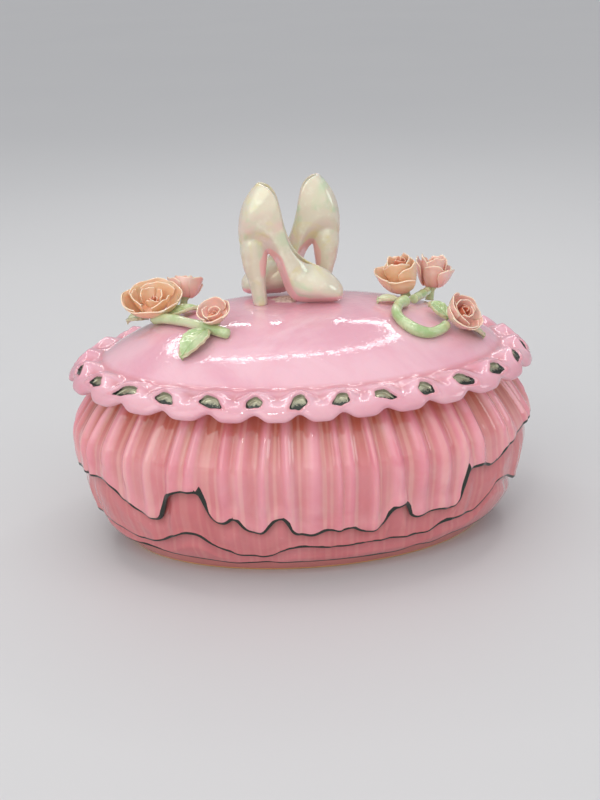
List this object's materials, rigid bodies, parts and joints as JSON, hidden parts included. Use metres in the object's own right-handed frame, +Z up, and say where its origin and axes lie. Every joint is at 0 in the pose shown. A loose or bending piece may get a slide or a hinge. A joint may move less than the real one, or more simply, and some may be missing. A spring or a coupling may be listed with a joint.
{
  "type": "porcelain trinket box",
  "caption": "Oval glazed ceramic trinket box with a pleated, ruffled base and a lift-off domed lid carrying a pair of high-heeled shoes and two sprays of roses.",
  "frame": {"origin": "middle of the oval foot, on the plane the box stands on", "axes": "+Z up, +X along the long way of the oval, -Y towards the side a person faces (the side with the small front roses)"},
  "size_m": [0.1856, 0.1239, 0.1397],
  "materials": {
    "bowl_glaze": "gloss",
    "foot_clay": "satin",
    "ruffle_glaze": "gloss",
    "skirt_glaze": "gloss",
    "lid_glaze": "gloss",
    "border_glaze": "gloss",
    "pearl_glaze": "gloss",
    "clay_pad": "matte",
    "rose_heart": "gloss",
    "peach_petal": "gloss",
    "pink_petal": "gloss",
    "leaf_glaze": "gloss"
  },
  "bodies": {
    "base": {"bowl": "bowl_glaze", "foot_ring": "foot_clay", "lower_ruffle": "ruffle_glaze", "middle_ruffle": "ruffle_glaze", "upper_skirt": "skirt_glaze"},
    "lid": {"lid_dome": "lid_glaze", "lid_ruffle": "border_glaze", "lid_locating_ring": "lid_glaze", "front_shoe": "pearl_glaze", "rear_shoe": "pearl_glaze", "shoe_clay_pad": "clay_pad", "left_large_rose_heart": "rose_heart", "left_large_rose_inner_petals": "peach_petal", "left_large_rose_outer_petals": "peach_petal", "left_rear_rose_heart": "rose_heart", "left_rear_rose_inner_petals": "pink_petal", "left_rear_rose_outer_petals": "pink_petal", "left_small_rose_heart": "rose_heart", "left_small_rose_inner_petals": "pink_petal", "left_small_rose_outer_petals": "pink_petal", "right_large_rose_heart": "rose_heart", "right_large_rose_inner_petals": "peach_petal", "right_large_rose_outer_petals": "pink_petal", "right_rear_rose_heart": "rose_heart", "right_rear_rose_inner_petals": "pink_petal", "right_rear_rose_outer_petals": "pink_petal", "right_small_rose_heart": "rose_heart", "right_small_rose_inner_petals": "pink_petal", "right_small_rose_outer_petals": "pink_petal", "left_stem": "leaf_glaze", "left_front_leaf": "leaf_glaze", "left_middle_leaf": "leaf_glaze", "left_back_leaf": "leaf_glaze", "right_loop_stem": "leaf_glaze", "right_short_stem": "leaf_glaze", "right_flat_leaf": "leaf_glaze", "right_inner_leaf": "leaf_glaze", "right_end_leaf": "leaf_glaze"}
  },
  "joints": [
    {"name": "lid_lift", "type": "slide", "parent": "base", "child": "lid", "axis": [0, 0, 1], "range_m": [0, 0.08]}
  ]
}
